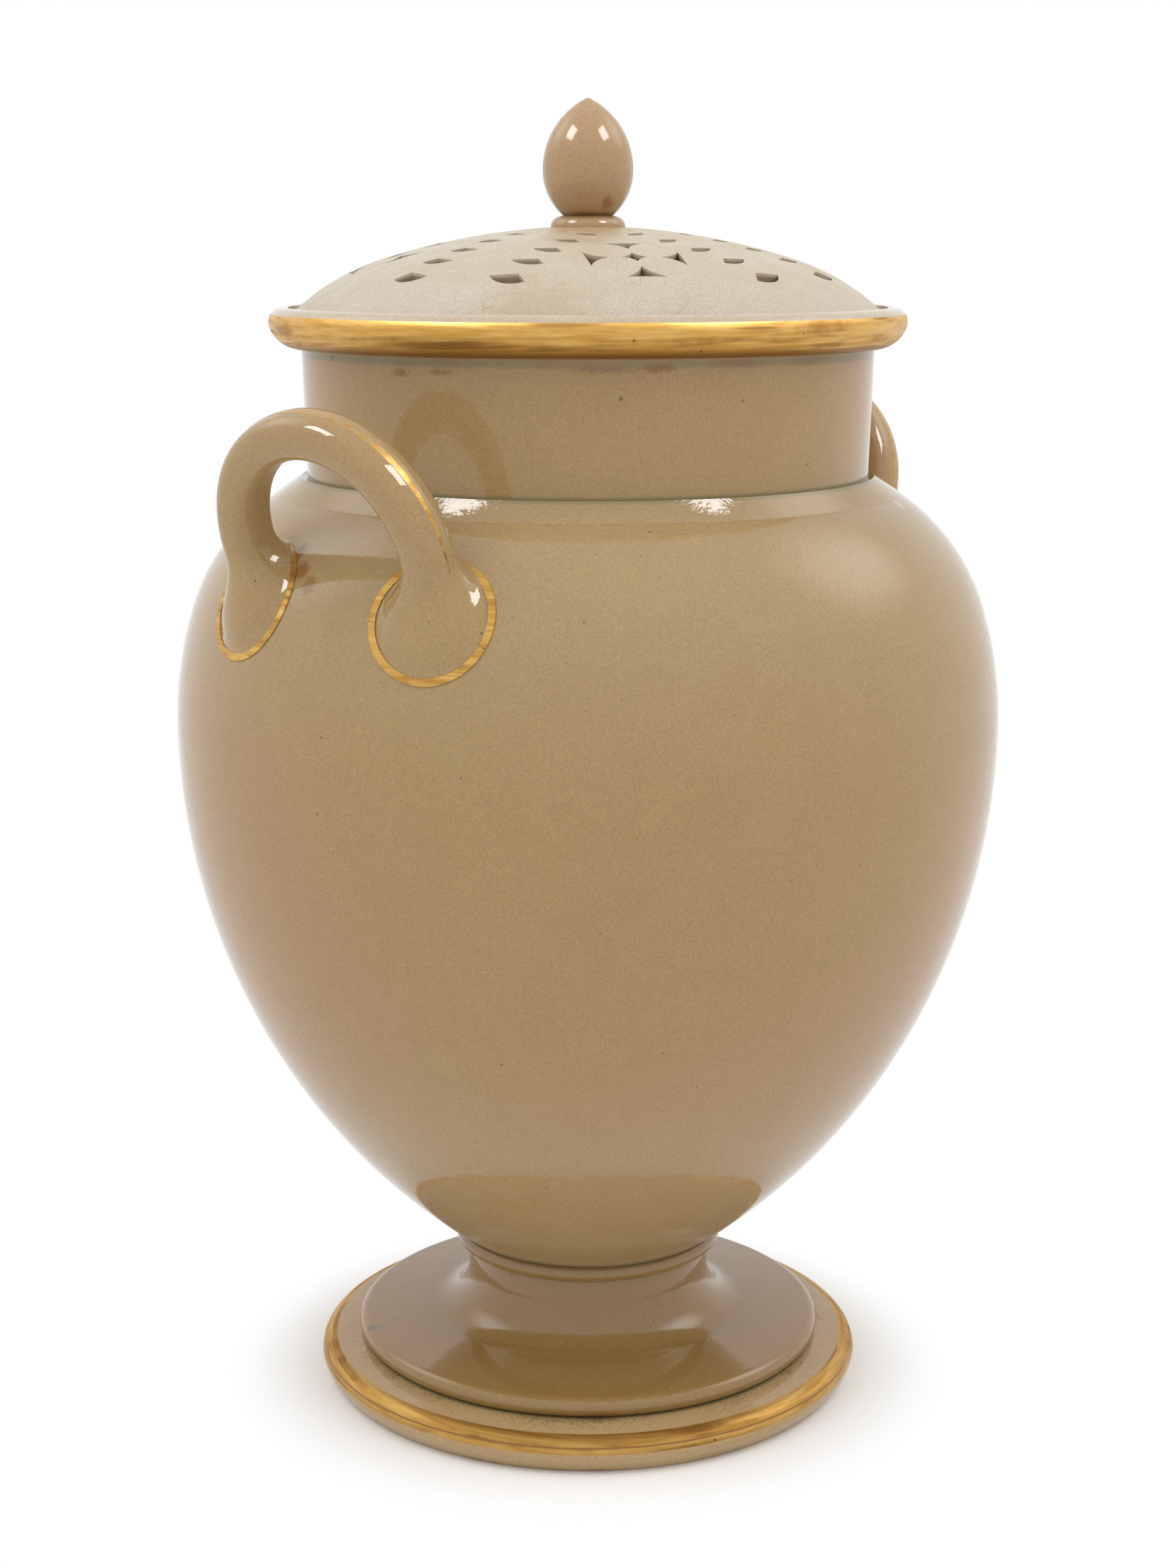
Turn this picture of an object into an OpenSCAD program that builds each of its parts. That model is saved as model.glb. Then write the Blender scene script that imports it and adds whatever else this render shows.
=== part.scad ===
// Two-handled potpourri vase with a pierced lift-off cover.
// Millimetres, +Z up, origin at the centre of the base on the ground.
// The handles stand on -X (left) and +X (right).

/* [Plinth] */
// Widest diameter of the round base
plinth_d = 157.8; // [140:0.2:180]
// Height from the ground to the seat of the foot
plinth_h = 11.3; // [10:0.1:18]
// Rounding of the upper edge
plinth_edge = 4.5; // [3:0.1:6]
// Fall of the top from the seat to the rounded edge
plinth_fall = 0.8; // [0.5:0.1:3]
// How far the side draws in towards the ground
plinth_draw = 2.8; // [0.5:0.1:5]
// Hole under the base
plinth_bore_d = 104; // [80:1:116]

/* [Foot] */
// Diameter of the spreading disc
disc_d = 135.6; // [120:0.2:150]
// Thickness of the disc at its rounded edge
disc_edge_h = 5.6; // [4:0.1:7]
// Slope of the top of the disc, in degrees
disc_slope = 6; // [2:0.5:12]
// How far the disc overhangs its seat on the plinth
disc_overhang = 1; // [0.5:0.1:3]
// Diameter of the stem at its waist
stem_d = 70.4; // [56:0.2:80]
// Radius of the hollow curve from the stem to the disc
cove_r = 12; // [6:0.5:15]
// Height from the plinth to the seat of the body
foot_h = 32.2; // [28:0.1:45]
// Height of the ring under the body
bead_h = 5.1; // [3:0.1:8]
// How far the ring stands out past the bottom of the body
bead_proud = 0.6; // [0:0.1:3]
// Wall of the hollow stem
foot_wall = 8; // [5:0.5:12]
// Depth of the locating boss between body and foot
boss_h = 3; // [2:0.5:6]
// Diameter of the locating boss
boss_d = 44; // [30:1:52]

/* [Body] */
// Largest diameter
belly_d = 230.7; // [210:0.5:255]
// Diameter where the body meets the foot
base_d = 76.5; // [66:0.5:90]
// Radius of the outline below the belly
lower_arc = 187.2; // [165:0.5:210]
// Radius of the outline above the belly
upper_arc = 106.4; // [95:0.5:120]
// Height above the belly where the tighter shoulder curve begins
shoulder_rise = 32.5; // [25:0.5:40]
// Radius of the shoulder curve
shoulder_arc = 58.4; // [52:0.5:66]
// Wall of the body
body_wall = 6; // [4:0.5:8]
// Thickness of the floor inside
floor_t = 8; // [5:0.5:12]

/* [Neck and rim] */
// Outer diameter at the foot of the neck
neck_d = 155.4; // [140:0.2:170]
// Step from the shoulder in to the neck
neck_step = 1.6; // [0.5:0.1:4]
// Height of the plain neck
neck_h = 35.7; // [25:0.1:50]
// How much the neck's radius grows towards the rim
neck_flare = 1; // [0:0.1:4]
// Wall of the neck
neck_wall = 4.5; // [3.5:0.1:6]
// How far the rim stands out from the neck
rim_out = 8.8; // [6:0.1:12]
// Height of the rim above the plain neck
rim_h = 11.1; // [9:0.1:16]
// Radius of the rolled edge
rim_roll = 4.1; // [3:0.1:5.5]
// Angle below level where the wider curve under the rim takes over, in degrees
rim_turn = 20; // [5:1:35]
// Thickness of the lip beside the cover
lip_t = 5.3; // [4.2:0.1:7]
// Depth of the ledge below the top of the lip
ledge_drop = 5.8; // [4:0.1:8]
// Height of the neck's spigot inside the body
spigot_h = 5; // [3:0.5:8]
// Wall of that spigot
spigot_t = 2.6; // [1.5:0.1:3.5]

/* [Cover] */
// Radial play between the cover's edge and the lip
cover_play = 1.6; // [0.8:0.1:3]
// Height of the cover's upright edge
cover_edge_h = 4.2; // [3:0.1:7]
// Radius of the crown of the dome
dome_arc = 186; // [160:1:220]
// Distance from the axis where the tighter edge curve begins
crown_r = 57; // [45:0.5:68]
// Radius of the dome's edge curve
edge_arc = 62.4; // [50:0.2:90]
// Wall of the dome
cover_t = 4.5; // [3:0.1:6]
// Depth of the locating flange below the ledge
flange_h = 7; // [4:0.5:12]
// Wall of the locating flange
flange_t = 2.9; // [2:0.1:4]
// Radial play of the flange in the neck
flange_play = 0.9; // [0.4:0.1:2]
// Gap left between the cover and its ledge
seat_gap = 0.15; // [0.05:0.05:0.4]
// Turn of the pierced pattern about the axis, in degrees
cover_turn = 231; // [0:0.5:360]
// Openings in each pierced row
row_count = 5; // [3:1:6]
// Size of the innermost opening of a row
cut_in = 5; // [3:0.1:6]
// Size of the outermost opening of a row
cut_out = 7.6; // [5:0.1:8]
// Depth of an opening's inner corner, as a share of its size
cut_corner = 0.36; // [0.2:0.02:0.6]
// How far that corner lies to one side, as a share of half the width
cut_skew = 0.3; // [0:0.05:0.5]
// Distance of the innermost opening of a row from the axis
row_in = 28; // [24:0.5:32]
// Distance of the outermost opening of a row from the axis
row_out = 66.5; // [60:0.5:67]
// Turn of the inner end of a row that opens out beside the first group, in degrees
row_from = 13.7; // [10:0.1:18]
// Turn of the outer end of that row, in degrees
row_to = 30.8; // [26:0.1:34]
// Turn of a row that runs straight out from the axis, in degrees
row_side = 56; // [50:0.5:60]
// Distance of a star group from the axis
star_at = 53; // [48:0.5:54]
// Half width of the four-pointed star opening
star_r = 3.4; // [2:0.1:5]
// Distance from the star to the tip of the openings around it
tri_near = 7; // [6:0.1:8]
// Height of those openings
tri_h = 5.6; // [4:0.1:7]
// Width of those openings
tri_w = 10.6; // [7:0.1:12]
// How deeply the sides of these openings are hollowed, as a share of their size
cut_hollow = 0.15; // [0.1:0.01:0.2]

/* [Knob] */
// Largest diameter
knob_d = 24.8; // [20:0.2:32]
// Diameter of its neck
knob_neck_d = 13.6; // [10:0.2:18]
// Radius of the outline below the widest point
knob_low_arc = 16.1; // [13.5:0.1:22]
// Radius of the outline above the widest point
knob_top_arc = 21; // [17:0.1:30]
// Radius of the rounded tip
knob_tip = 1.2; // [0.6:0.1:2]
// Diameter of the collar under the knob
collar_d = 20.6; // [18:0.2:26]
// Height of the collar above the top of the dome
collar_h = 2.8; // [1.8:0.1:4]
// Diameter of the peg through the dome
peg_d = 8; // [5:0.5:10]

/* [Handles] */
// Radius of the arch, to the middle of the strap
arch_r = 30.6; // [24:0.2:34]
// Height of the arch's centre above the handle's feet
arch_rise = 10.4; // [8:0.2:16]
// Outward spread of each leg, in degrees, below zero where the legs close in
leg_splay = -5.6; // [-8:0.2:4]
// Outward lean of the handle, in degrees
handle_lean = 19; // [10:0.5:22]
// Depth of the strap, from the vase outwards
strap_w = 14; // [13:0.5:18]
// Thickness of the strap
strap_t = 12; // [9:0.5:12.5]
// How much thicker the legs are than the arch, all round
leg_swell = 0.25; // [0.2:0.05:0.6]
// Drop of the handle's legs below the neck, where they meet the body
handle_drop = 20.4; // [17:0.2:26]
// Drop of each rounded foot below its leg
pad_drop = 5.2; // [4:0.2:7]
// Diameter of each rounded foot
pad_d = 28; // [24:0.5:32]
// How far each rounded foot swells from the body
pad_proud = 5; // [4.5:0.1:5.5]
// How far each leg runs on into its rounded foot
leg_in = 5; // [4:0.5:8]

/* [Gilding] */
// Thickness of the gilding
gilt_t = 0.25; // [0.2:0.05:0.5]
// Thickness of the plinth's gilding, which wears deeper
band_t = 0.4; // [0.3:0.05:0.6]
// Width of the gilt ring round each handle foot
ring_w = 1.9; // [1:0.1:3]
// Bare glaze between a handle foot and its ring
ring_gap = 0.9; // [0.7:0.1:3]
// Widest part of the stripe along each handle
stripe_w = 3; // [1.5:0.1:4.5]
// Upper end of the rim's gilding round the roll, in degrees
rim_gilt_from = 34; // [10:1:60]
// Lower end of the rim's gilding round the roll, in degrees
rim_gilt_to = -104; // [-112:1:-70]
// Upper end of the wide band on the plinth's edge, in degrees
band_top = 86; // [70:1:90]
// Lower end of the wide band, in degrees
band_low = 30; // [28:1:45]
// Upper end of the fine line below the band, in degrees
line_top = 25; // [16:1:26]
// Lower end of the fine line, in degrees
line_low = 4; // [0:1:12]

/* [Fits] */
// Gap between pieces that fit into each other
slip = 0.1; // [0.05:0.01:0.2]
// Gap under and over the gilt rings, which lie on the body
ring_lay = 0.05; // [0.02:0.01:0.1]

/* [Hidden] */
$fn = 96;
far = 400;
hollow_arc = 1.5;
plinth_chamfer = 0.8;

// Levels and radii of the foot and body
plinth_r = plinth_d / 2;
disc_r = disc_d / 2;
stem_r = stem_d / 2;
foot_z = plinth_h;
body_z = foot_z + foot_h;
base_r = base_d / 2;
bead_r = base_r + bead_proud;
boss_r = boss_d / 2;
belly_r = belly_d / 2;
belly_z = body_z + rise(lower_arc, base_r - belly_r + lower_arc);

// The shoulder curve runs on smoothly from the upper curve at this angle
shoulder_a = asin(shoulder_rise / upper_arc);
shoulder_r = belly_r - upper_arc + (upper_arc - shoulder_arc) * cos(shoulder_a);
shoulder_z = belly_z + (upper_arc - shoulder_arc) * sin(shoulder_a);

// Neck, rim and cover
neck_r = neck_d / 2;
neck_in_r = neck_r - neck_wall;
neck_z = shoulder_z + rise(shoulder_arc, neck_r + neck_step - shoulder_r);
mouth_r = neck_in_r + spigot_t + slip;
rim_z = neck_z + neck_h;
rim_foot_r = neck_r + neck_flare;
rim_r = rim_foot_r + rim_out;
lip_z = rim_z + rim_h;
roll_r = rim_r - rim_roll;
roll_z = lip_z - rim_roll;
lip_in_r = rim_r - lip_t;
under_arc = (roll_z - rim_z - rim_roll * sin(rim_turn)) / (1 - sin(rim_turn));
under_at = [roll_r, roll_z] + (under_arc - rim_roll) * [-cos(rim_turn), sin(rim_turn)];
under_in_r = max(under_at[0], rim_foot_r + slip);
ledge_z = lip_z - ledge_drop;
cover_r = lip_in_r - cover_play;
cover_z = ledge_z + seat_gap;
crown_a = asin(crown_r / dome_arc);
edge_r = crown_r - edge_arc * sin(crown_a);
edge_z = cover_z + cover_edge_h - rise(edge_arc, cover_r - edge_r);
dome_z = edge_z - (dome_arc - edge_arc) * cos(crown_a);
dome_top = dome_z + dome_arc;
flange_r = neck_in_r - flange_play;
hollow_r = flange_r - flange_t;

// Knob
knob_r = knob_d / 2;
collar_z = dome_top + collar_h;
knob_z = collar_z + rise(knob_low_arc, knob_neck_d / 2 - knob_r + knob_low_arc);
tip_z = knob_z + rise(knob_top_arc - knob_tip, knob_top_arc - knob_r);
tip_a = acos((knob_top_arc - knob_r) / (knob_top_arc - knob_tip));

// Handles: the legs and the rounded feet meet the body's outline at these levels
hand_z = neck_z - handle_drop;
hand_r = outline(hand_z);
pad_z = hand_z - pad_drop;
pad_r = outline(pad_z);
leg_y = arch_r * cos(leg_splay) + (arch_rise + arch_r * sin(leg_splay)) * tan(leg_splay);
leg_a = asin(leg_y / hand_r);
leg_lap = 2;
leg_len = leg_lap + (arch_rise + arch_r * sin(leg_splay)) / cos(leg_splay) + leg_in;
pad_a = pad_z > shoulder_z + shoulder_arc * sin(shoulder_a)
  ? asin((pad_z - shoulder_z) / shoulder_arc)
  : asin((pad_z - belly_z) / upper_arc);
body_bend = (1 / shoulder_arc + cos(pad_a) / pad_r) / 2;
pad_rise = pad_proud + pad_d * pad_d * body_bend / 8;
pad_ball = (pad_d * pad_d / 4 + pad_rise * pad_rise) / (2 * pad_rise);
ring_in = pad_d / 2 + ring_gap;

// Height over which an arc of radius r moves x sideways from its centre
function rise(r, x) = sqrt(r * r - x * x);

// Outer radius of the body above the belly
function outline(z) = z > shoulder_z + shoulder_arc * sin(shoulder_a)
  ? shoulder_r + rise(shoulder_arc, z - shoulder_z)
  : belly_r - upper_arc + rise(upper_arc, z - belly_z);

function polar(c, r, a) = [c[0] + r * cos(a), c[1] + r * sin(a)];

module glaze() {
  color([0.66, 0.58, 0.43]) children();
}

module gilt() {
  color([0.83, 0.62, 0.25]) children();
}

module level(z0, z1, r = far) {
  translate([0, z0]) square([r, z1 - z0]);
}

module disc_at(c, r) {
  translate(c) circle(r = r);
}

// Sector from angle a0 up to a1, wide enough to hold the arc it picks out
module sector(c, r, a0, a1) {
  steps = 6;
  polygon(concat([c], [for (i = [0:steps]) polar(c, 2 * r, a0 + (a1 - a0) * i / steps)]));
}

// Half outline of the body, filled to the axis, moved out by off
module belly(off = 0) {
  join_z = shoulder_z + (shoulder_arc + off) * sin(shoulder_a);
  intersection() {
    disc_at([belly_r - lower_arc, belly_z], lower_arc + off);
    level(body_z, belly_z);
  }
  intersection() {
    disc_at([belly_r - upper_arc, belly_z], upper_arc + off);
    level(belly_z, join_z);
  }
  intersection() {
    union() {
      disc_at([shoulder_r, shoulder_z], shoulder_arc + off);
      level(join_z, neck_z, shoulder_r);
    }
    level(join_z, neck_z);
  }
}

// Plinth

module plinth_edge_arc(r0, r1, a0, a1) {
  c = [plinth_r - plinth_edge, plinth_h - plinth_fall - plinth_edge];
  intersection() {
    difference() {
      disc_at(c, r1);
      disc_at(c, r0);
    }
    sector(c, r1, a0, a1);
  }
}

module plinth_outline() {
  c = [plinth_r - plinth_edge, plinth_h - plinth_fall - plinth_edge];
  lean = atan(plinth_draw / c[1]);
  disc_at(c, plinth_edge);
  polygon([
    [plinth_bore_d / 2, 0],
    [plinth_r - plinth_draw - plinth_chamfer, 0],
    [plinth_r - plinth_draw, plinth_chamfer],
    polar(c, plinth_edge, -lean),
    c,
    [c[0], c[1] + plinth_edge],
    [disc_r - disc_overhang, plinth_h],
    [plinth_bore_d / 2, plinth_h]
  ]);
}

module plinth_gilt_2d(a0, a1) {
  plinth_edge_arc(plinth_edge - band_t, plinth_edge, a0, a1);
}

module plinth() {
  glaze() rotate_extrude() difference() {
    plinth_outline();
    plinth_gilt_2d(band_low, band_top);
    plinth_gilt_2d(line_low, line_top);
  }
}

module plinth_gilding() {
  gilt() rotate_extrude() plinth_gilt_2d(band_low, band_top);
}

module plinth_gilt_line() {
  gilt() rotate_extrude() plinth_gilt_2d(line_low, line_top);
}

// Foot

module foot() {
  e = disc_edge_h / 2;
  edge = [disc_r - e, foot_z + e];
  top = polar(edge, e, 90 - disc_slope);
  cove_x = stem_r + cove_r * (1 - sin(disc_slope));
  cove_z = top[1] + (top[0] - cove_x) * tan(disc_slope);
  cove = [stem_r + cove_r, cove_z + cove_r * cos(disc_slope)];
  bead = [bead_r - bead_h / 2, body_z - bead_h / 2];
  glaze() rotate_extrude() difference() {
    union() {
      disc_at(edge, e);
      polygon([[0, foot_z], [edge[0], foot_z], edge, top, [cove_x, cove_z], [0, cove_z]]);
      difference() {
        polygon([[0, foot_z], [cove_x, foot_z], [cove_x, cove_z], [stem_r, cove[1]], [0, cove[1]]]);
        disc_at(cove, cove_r);
      }
      level(foot_z, body_z - bead_h / 2, stem_r);
      disc_at(bead, bead_h / 2);
      level(body_z - bead_h, body_z, bead[0]);
    }
    level(foot_z - 1, body_z - boss_h - foot_wall, stem_r - foot_wall);
    level(body_z - boss_h - slip, body_z + 1, boss_r + slip);
  }
}

// Body

module hand_side(side, a) {
  rotate([0, 0, (side < 0 ? 180 : 0) + a * leg_a]) children();
}

// Tube square to the body round one handle foot
module ring_mask(side, a) {
  reach = 2 * pad_d;
  hand_side(side, a) translate([pad_r, 0, pad_z]) rotate([0, 90 - pad_a, 0]) difference() {
    cylinder(h = reach, r = ring_in + ring_w, center = true);
    cylinder(h = reach + 2, r = ring_in, center = true);
  }
}

module body() {
  glaze() rotate_extrude() difference() {
    union() {
      belly();
      level(body_z - boss_h, body_z, boss_r);
    }
    intersection() {
      belly(-body_wall);
      level(body_z + floor_t, neck_z);
    }
    level(neck_z - spigot_h - slip, neck_z + 1, mouth_r);
  }
}

// Skin on the body over the ring's tube
module ring(side, a) {
  gilt() intersection() {
    ring_mask(side, a);
    rotate_extrude() difference() {
      belly(ring_lay + gilt_t);
      belly(ring_lay);
    }
  }
}

module ring_left_a() { ring(-1, -1); }
module ring_left_b() { ring(-1, 1); }
module ring_right_a() { ring(1, -1); }
module ring_right_b() { ring(1, 1); }

// Neck and rim

// The roll at the top, and the wider curve that runs on from it to the neck
module rim_outline(off = 0) {
  disc_at([roll_r, roll_z], rim_roll + off);
  intersection() {
    disc_at(under_at, under_arc + off);
    sector(under_at, under_arc, -100, -rim_turn);
  }
}

module rim_gilt_2d() {
  intersection() {
    difference() {
      rim_outline();
      rim_outline(-gilt_t);
    }
    sector([roll_r, roll_z], rim_roll, rim_gilt_to, rim_gilt_from);
  }
}

module neck() {
  glaze() rotate_extrude() difference() {
    union() {
      polygon([
        [neck_in_r, neck_z],
        [neck_r, neck_z],
        [rim_foot_r, rim_z],
        [under_in_r, rim_z],
        [under_in_r, roll_z],
        [neck_in_r, roll_z]
      ]);
      rim_outline();
      translate([neck_in_r, neck_z - spigot_h]) square([spigot_t, spigot_h + neck_h / 2]);
    }
    level(ledge_z, lip_z + 1, lip_in_r);
    level(neck_z - spigot_h - 1, lip_z, neck_in_r);
    rim_gilt_2d();
  }
}

module rim_gilding() {
  gilt() rotate_extrude() rim_gilt_2d();
}

// Handles, drawn for +X in a frame that leans with the strap

module strap(more = 0) {
  flat = strap_w - strap_t;
  square([strap_t + 2 * more, flat], center = true);
  for (s = [-1, 1]) {
    translate([0, s * flat / 2]) circle(d = strap_t + 2 * more);
  }
}

module lean_frame(side) {
  rotate([0, 0, side < 0 ? 180 : 0])
    translate([hand_r * cos(leg_a), 0, hand_z])
    rotate([0, handle_lean, 0]) children();
}

module arch() {
  translate([0, 0, arch_rise]) rotate([0, 90, 0]) rotate([0, 0, 90 + leg_splay])
    rotate_extrude(angle = 180 - 2 * leg_splay) translate([arch_r, 0]) children();
}

module leg(s) {
  y = s * arch_r * cos(leg_splay);
  z = arch_rise + arch_r * sin(leg_splay);
  translate([0, y, z]) rotate([180 + s * leg_splay, 0, 0]) translate([0, 0, -leg_lap])
    linear_extrude(leg_len) rotate(90) strap(leg_swell);
}

module pad(side, a) {
  deep = pad_ball - pad_proud;
  hand_side(side, a) translate([pad_r - deep * cos(pad_a), 0, pad_z - deep * sin(pad_a)])
    sphere(r = pad_ball);
}

// Strip on the arch's outer face, thickened outwards by up, that narrows to a point each way
module stripe_shape(side, up) {
  reach = arch_r + strap_t / 2 - stripe_w;
  half = [for (t = [-1:0.25:1]) [stripe_w / 2 * (1 - t * t), reach * t]];
  back = [for (t = [0.75:-0.25:-0.75]) [-stripe_w / 2 * (1 - t * t), reach * t]];
  lean_frame(side) intersection() {
    arch() translate([strap_t / 2 - gilt_t, -stripe_w]) square([gilt_t + up, 2 * stripe_w]);
    linear_extrude(far / 2) polygon(concat(half, back));
  }
}

module handle(side) {
  glaze() difference() {
    union() {
      lean_frame(side) {
        arch() strap();
        leg(-1);
        leg(1);
      }
      pad(side, -1);
      pad(side, 1);
    }
    rotate_extrude() belly(gilt_t + 2 * ring_lay);
    stripe_shape(side, 1);
  }
}

module handle_left() { handle(-1); }
module handle_right() { handle(1); }
module stripe_left() { gilt() stripe_shape(-1, 0); }
module stripe_right() { gilt() stripe_shape(1, 0); }

// Cover

// Part of a disc cut by two edges that meet in a blunt corner, set to one side by skew
module leaf_cut(q, skew) {
  half = q * sin(45);
  corner = [half - cut_corner * q, skew * half];
  past = [for (s = [-1, 1]) corner + 2.2 * ([half, s * half] - corner)];
  rotate(45) translate([-half, 0]) intersection() {
    circle(r = q);
    polygon([corner, past[0], past[1]]);
  }
}

// One row of growing openings between two points
module cut_row(p0, p1, skew) {
  for (i = [0:row_count - 1]) {
    t = i / (row_count - 1);
    translate(p0 + (p1 - p0) * t) leaf_cut(cut_in + (cut_out - cut_in) * t, skew);
  }
}

// Circle that hollows the edge between two points by the given depth
module hollow_edge(p, q, depth, r) {
  m = (p + q) / 2;
  d = q - p;
  out = [d[1], -d[0]] / norm(d);
  translate(m + out * (r - depth)) circle(r = r);
}

module star_cut() {
  p = [for (k = [0:3]) star_r * [cos(90 * k), sin(90 * k)]];
  difference() {
    polygon(p);
    for (k = [0:3]) {
      hollow_edge(p[k], p[(k + 1) % 4], cut_hollow * star_r, hollow_arc * star_r);
    }
  }
}

module tri_cut() {
  tip = [tri_near, 0];
  a = [tri_near + tri_h, -tri_w / 2];
  b = [tri_near + tri_h, tri_w / 2];
  difference() {
    polygon([tip, a, b]);
    hollow_edge(tip, a, cut_hollow * tri_h, hollow_arc * tri_h);
    hollow_edge(b, tip, cut_hollow * tri_h, hollow_arc * tri_h);
  }
}

module star_group() {
  translate([star_at, 0]) {
    star_cut();
    for (k = [0:3]) {
      rotate(90 * k) tri_cut();
    }
  }
}

// Rows that open out beside the first group, and rows that run straight out from the axis
module pierced_2d() {
  rotate(cover_turn) {
    for (k = [0:3]) {
      rotate(90 * k) star_group();
    }
    for (half = [0, 180], side = [0, 1]) {
      rotate(half) mirror([0, side]) {
        cut_row(polar([0, 0], row_in, row_from), polar([0, 0], row_out, row_to), -cut_skew);
        cut_row(polar([0, 0], row_in, row_side), polar([0, 0], row_out, row_side), cut_skew);
      }
    }
  }
}

// Half outline of the dome, filled to the axis, moved out by off
module dome(off = 0) {
  join_z = dome_z + (dome_arc + off) * cos(crown_a);
  intersection() {
    disc_at([0, dome_z], dome_arc + off);
    level(join_z, dome_top + 1);
  }
  intersection() {
    union() {
      disc_at([edge_r, edge_z], edge_arc + off);
      level(edge_z, join_z, edge_r);
    }
    level(edge_z, join_z);
  }
}

module cover() {
  glaze() difference() {
    rotate_extrude() {
      difference() {
        intersection() {
          dome();
          level(cover_z, dome_top + 1, cover_r);
        }
        intersection() {
          dome(-cover_t);
          level(cover_z - 1, dome_top, hollow_r);
        }
        level(dome_z, dome_top + 1, peg_d / 2 + slip);
      }
      translate([hollow_r, ledge_z - flange_h]) square([flange_t, flange_h + seat_gap + 1]);
    }
    translate([0, 0, cover_z + 1.5]) linear_extrude(dome_top - cover_z) pierced_2d();
  }
}

// Knob

module knob() {
  ch = collar_h / 2;
  low_z = dome_z + rise(dome_arc, collar_d / 2);
  ch_r = collar_z - low_z;
  glaze() rotate_extrude() {
    difference() {
      union() {
        disc_at([collar_d / 2 - ch_r, low_z], ch_r);
        level(dome_z, collar_z, collar_d / 2 - ch_r);
        intersection() {
          disc_at([knob_r - knob_low_arc, knob_z], knob_low_arc);
          level(collar_z - ch, knob_z);
        }
        intersection() {
          disc_at([knob_r - knob_top_arc, knob_z], knob_top_arc);
          level(knob_z, knob_z + knob_top_arc * sin(tip_a));
        }
        intersection() {
          disc_at([0, tip_z], knob_tip);
          level(tip_z, tip_z + knob_tip);
        }
      }
      disc_at([0, dome_z], dome_arc);
    }
    level(dome_top - cover_t - 1, knob_z + knob_tip, peg_d / 2);
  }
}

plinth();
plinth_gilding();
plinth_gilt_line();
foot();
body();
neck();
rim_gilding();
handle_left();
handle_right();
stripe_left();
stripe_right();
ring_left_a();
ring_left_b();
ring_right_a();
ring_right_b();
cover();
knob();
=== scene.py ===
import bmesh
import bpy
import math
import numpy as np
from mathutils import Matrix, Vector


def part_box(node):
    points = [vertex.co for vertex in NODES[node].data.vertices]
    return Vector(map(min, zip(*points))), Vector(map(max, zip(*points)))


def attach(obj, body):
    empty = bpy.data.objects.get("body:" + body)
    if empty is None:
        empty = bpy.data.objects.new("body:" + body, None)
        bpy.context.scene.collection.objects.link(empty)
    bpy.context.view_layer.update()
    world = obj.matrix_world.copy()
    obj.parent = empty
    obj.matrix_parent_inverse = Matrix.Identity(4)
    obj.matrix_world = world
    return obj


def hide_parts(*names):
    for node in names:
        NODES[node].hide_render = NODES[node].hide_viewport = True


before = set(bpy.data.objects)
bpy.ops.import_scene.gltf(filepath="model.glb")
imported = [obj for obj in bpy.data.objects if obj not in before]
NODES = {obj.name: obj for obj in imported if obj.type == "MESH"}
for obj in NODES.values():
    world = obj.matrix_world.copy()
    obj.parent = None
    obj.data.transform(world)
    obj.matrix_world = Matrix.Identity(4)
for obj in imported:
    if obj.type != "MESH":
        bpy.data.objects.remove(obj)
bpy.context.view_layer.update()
SCENE = bpy.context.scene
MM = 0.001

# Levels and a radius from the frame, in metres
FOOT_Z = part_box("foot")[0][2]
BODY_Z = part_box("foot")[1][2]
DISC_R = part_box("foot")[1][0]
NECK_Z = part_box("body")[1][2]
LIP_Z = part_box("neck")[1][2]
DOME_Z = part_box("cover")[1][2]

# Levels within the nodes, in metres, by the heights that the CAD uses
RIM_H, BEAD_H, COLLAR_H = 0.0111, 0.0051, 0.0028
RIM_Z = LIP_Z - RIM_H
BEAD_Z = BODY_Z - BEAD_H
COLLAR_Z = DOME_Z + COLLAR_H
# The dark line between the plinth's two gilt bands, and its lower edge
BAND_GAP_Z, PLINTH_EDGE_Z = 0.0081, 0.0006

# The photo's side of the vase, in degrees about the axis
CAM_AZ = -52.0


def around(turn, r, z):
    """Point at radius r and height z, turned from the photo's side, positive to its right."""
    a = math.radians(CAM_AZ + turn)
    return (r * math.sin(a), -r * math.cos(a), z)


# Small helpers for shader nodes

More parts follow.
